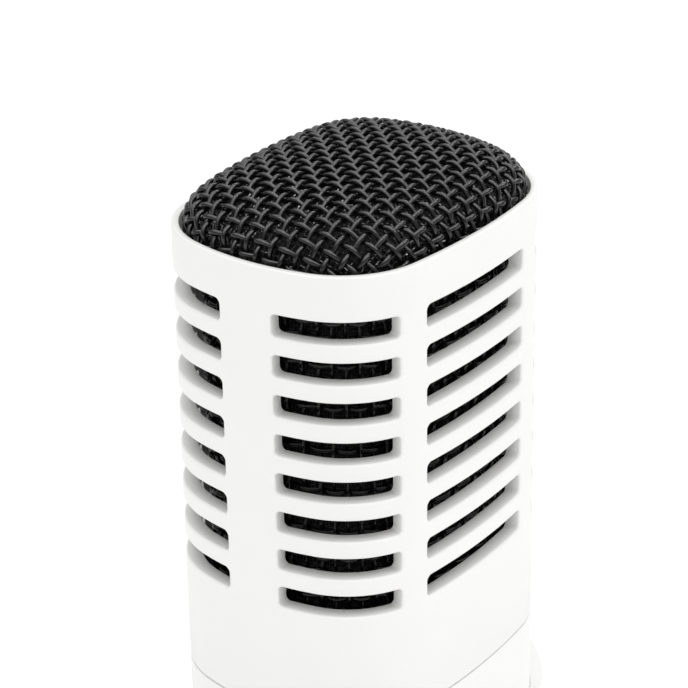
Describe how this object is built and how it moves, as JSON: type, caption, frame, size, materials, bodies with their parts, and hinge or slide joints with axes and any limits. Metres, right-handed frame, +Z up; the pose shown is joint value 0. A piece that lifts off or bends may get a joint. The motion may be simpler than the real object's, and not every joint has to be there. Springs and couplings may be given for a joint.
{
  "type": "desktop microphone",
  "caption": "Upright desktop microphone: slotted white head with a woven-wire crown, tilting in a yoke that swivels on a weighted round base.",
  "frame": {"origin": "on the desk, under the middle of the round base", "axes": "+Z up along the swivel axis, -Y towards the speaker (the side with the knob and the mute button), +X along the head's longer side and the tilt axis"},
  "size_m": [0.104, 0.104, 0.172],
  "materials": {
    "white_housing": "satin white moulded plastic with a fine matt texture",
    "white_paint": "satin white powder coat",
    "black_mesh": "gloss black lacquered steel wire",
    "fine_mesh": "black lacquered fine steel wire",
    "foam": "open-cell black foam",
    "black_plastic": "satin black moulded plastic",
    "grey_plastic": "matt dark grey moulded plastic",
    "black_rubber": "matt black rubber",
    "nylon": "natural nylon",
    "bright_steel": "brushed stainless steel",
    "zinc_steel": "zinc plated steel",
    "brass_parts": "turned brass",
    "gold_film": "sputtered gold film",
    "aluminium_ring": "turned aluminium",
    "iron": "black painted cast iron",
    "board_green": "solder mask over glass epoxy",
    "lens": "translucent light pipe"
  },
  "bodies": {
    "base": {"base_cover": "white_housing", "base_weight": "iron", "base_plate": "black_plastic", "base_screws": "zinc_steel", "foot_ring": "black_rubber", "swivel_bush": "nylon"},
    "yoke": {"yoke": "white_paint", "yoke_post": "bright_steel", "post_screw": "zinc_steel", "swivel_washer": "zinc_steel", "swivel_screw": "zinc_steel", "arm_bush_left": "nylon", "arm_bush_right": "nylon"},
    "head": {"grille_housing": "white_housing", "dome_mesh": "black_mesh", "dome_liner_mesh": "fine_mesh", "sleeve_mesh": "black_mesh", "sleeve_liner_mesh": "fine_mesh", "foam_liner": "foam", "mesh_clamp": "black_plastic", "capsule_ring": "aluminium_ring", "capsule_diaphragm": "gold_film", "capsule_backplate": "brass_parts", "capsule_cup": "black_plastic", "capsule_cradle": "black_rubber", "capsule_bracket": "grey_plastic", "bracket_screws": "zinc_steel", "chassis": "grey_plastic", "lower_housing": "white_housing", "bottom_cap": "black_plastic", "bottom_screws": "zinc_steel", "control_board": "board_green", "board_screws": "zinc_steel", "gain_encoder": "zinc_steel", "mute_switch": "black_plastic", "status_lens": "lens", "main_board": "board_green", "board_parts": "black_plastic", "usb_socket": "bright_steel", "phones_socket": "black_plastic", "pivot_insert_left": "brass_parts", "pivot_insert_right": "brass_parts", "pivot_pad_left": "black_rubber", "pivot_pad_right": "black_rubber", "pivot_screw_left": "zinc_steel", "pivot_screw_right": "zinc_steel", "pivot_cap_left": "white_housing", "pivot_cap_right": "white_housing"},
    "gain_knob": {"gain_knob": "black_plastic", "encoder_shaft": "bright_steel"},
    "mute_button": {"mute_button": "black_plastic"}
  },
  "joints": [
    {"name": "swivel", "type": "hinge", "parent": "base", "child": "yoke", "pos_m": [0, 0, 0.02], "axis": [0, 0, 1], "range_deg": [-170, 170]},
    {"name": "tilt", "type": "hinge", "parent": "yoke", "child": "head", "pos_m": [0, 0, 0.07], "axis": [1, 0, 0], "range_deg": [-45, 30]},
    {"name": "gain_turn", "type": "hinge", "parent": "head", "child": "gain_knob", "pos_m": [0, -0.021, 0.059], "axis": [0, -1, 0], "range_deg": [-150, 150]},
    {"name": "mute_press", "type": "slide", "parent": "head", "child": "mute_button", "axis": [0, 1, 0], "range_m": [0, 0.001], "stiffness_N_per_m": 1500, "springref_m": -0.0004}
  ]
}
